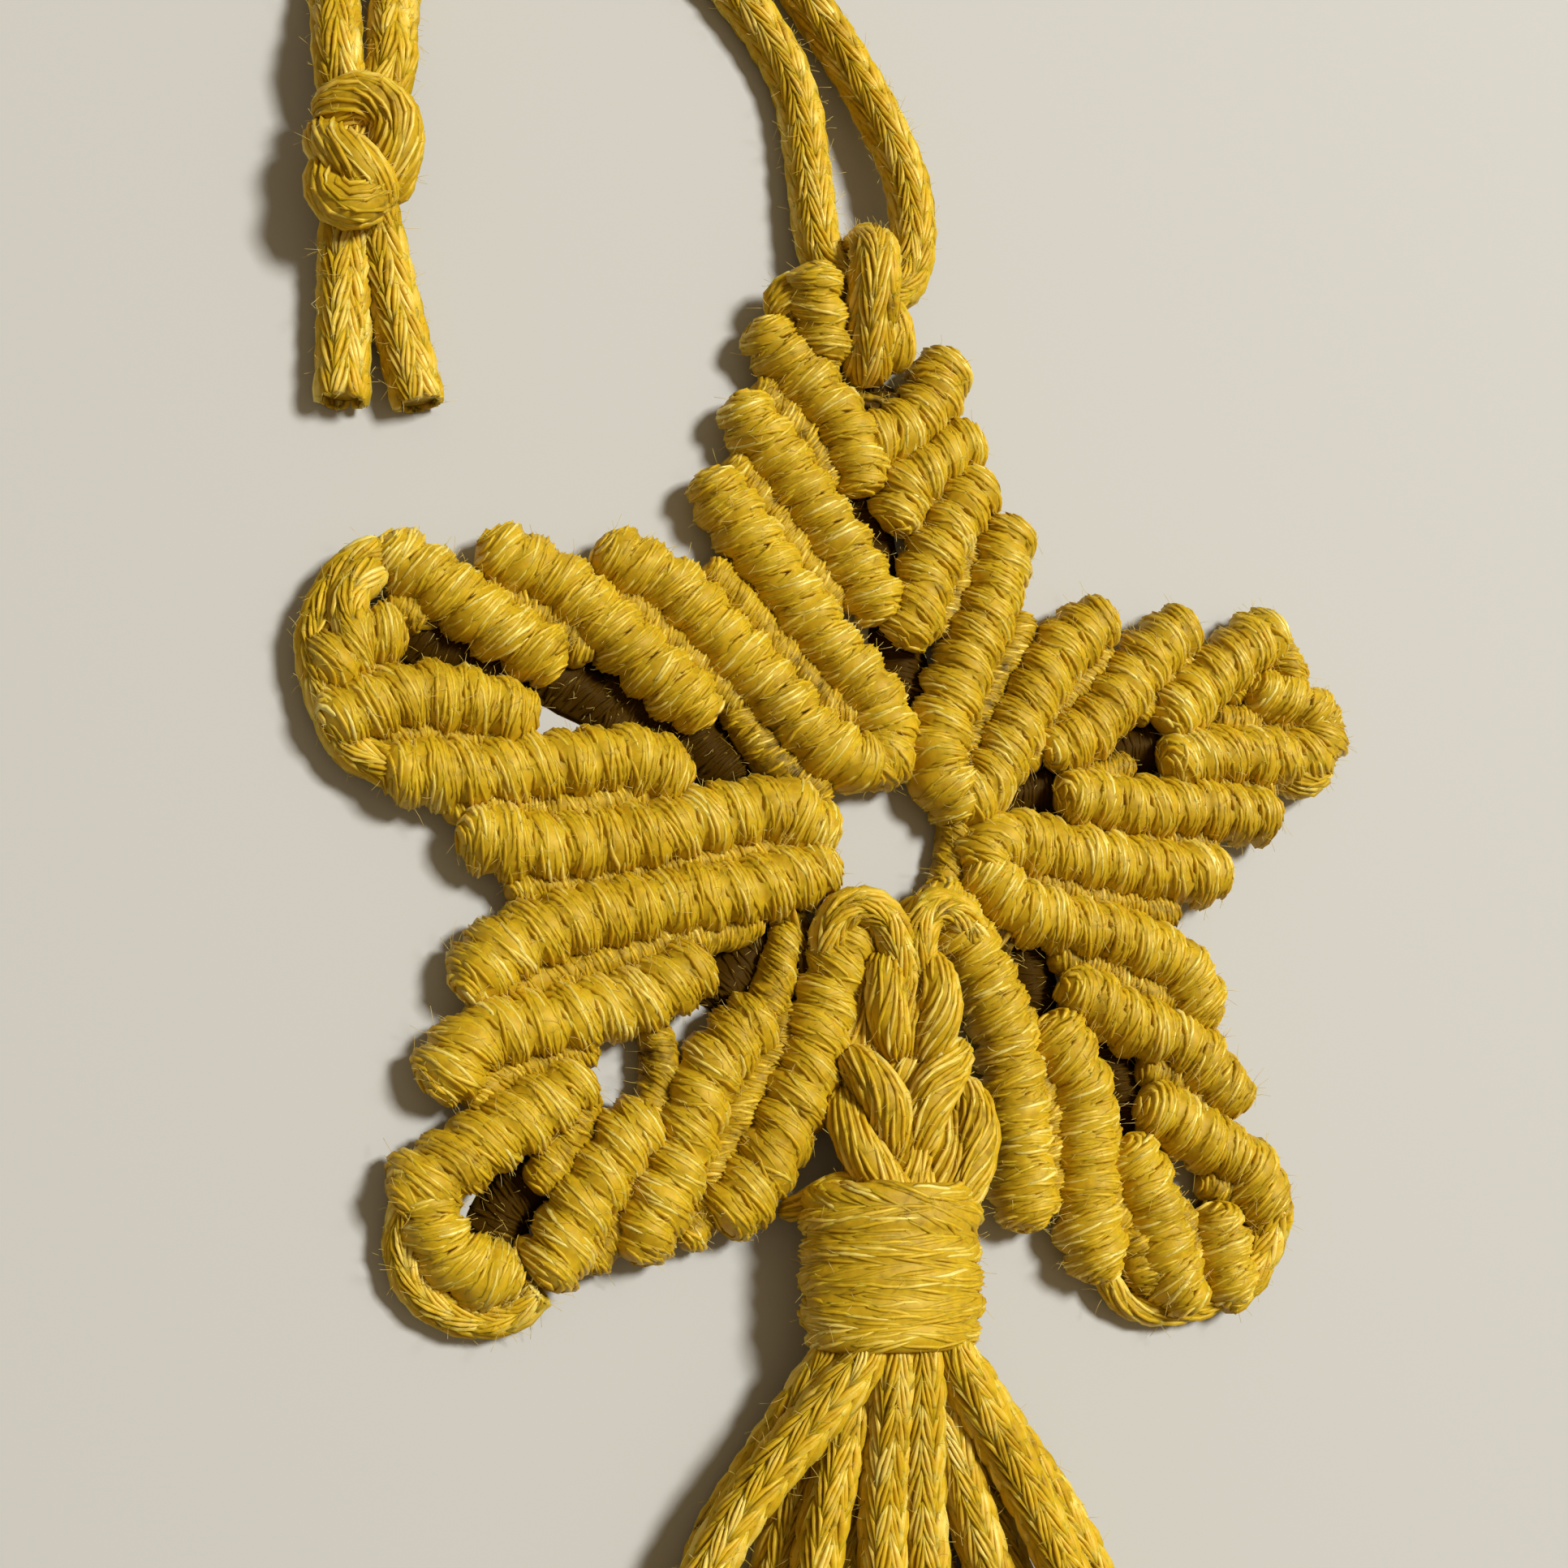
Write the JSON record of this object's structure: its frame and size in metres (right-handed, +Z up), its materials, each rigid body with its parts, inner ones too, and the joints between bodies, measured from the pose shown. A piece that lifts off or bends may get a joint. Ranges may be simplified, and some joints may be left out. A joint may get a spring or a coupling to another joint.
{
  "type": "macrame wall hanging",
  "caption": "Macrame star ornament knotted from cotton cord, with a wrapped neck and tassel below and a knotted cord loop at its top to hang it by.",
  "frame": {"origin": "middle of the box round the star and its tassel, on the surface they lie on", "axes": "+Y from the tassel towards the hanging cord, +Z up from the surface out of the star's face, +X to the right of the star seen face on"},
  "size_m": [0.083, 0.1691, 0.0088],
  "materials": {
    "cotton_cord": "braided mustard cotton cord, matt with a slight silky sheen"
  },
  "bodies": {
    "root": {"star": "cotton_cord", "tassel": "cotton_cord", "hanging_cord_inner": "cotton_cord", "hanging_cord_outer": "cotton_cord", "hanging_knot": "cotton_cord"}
  },
  "joints": []
}
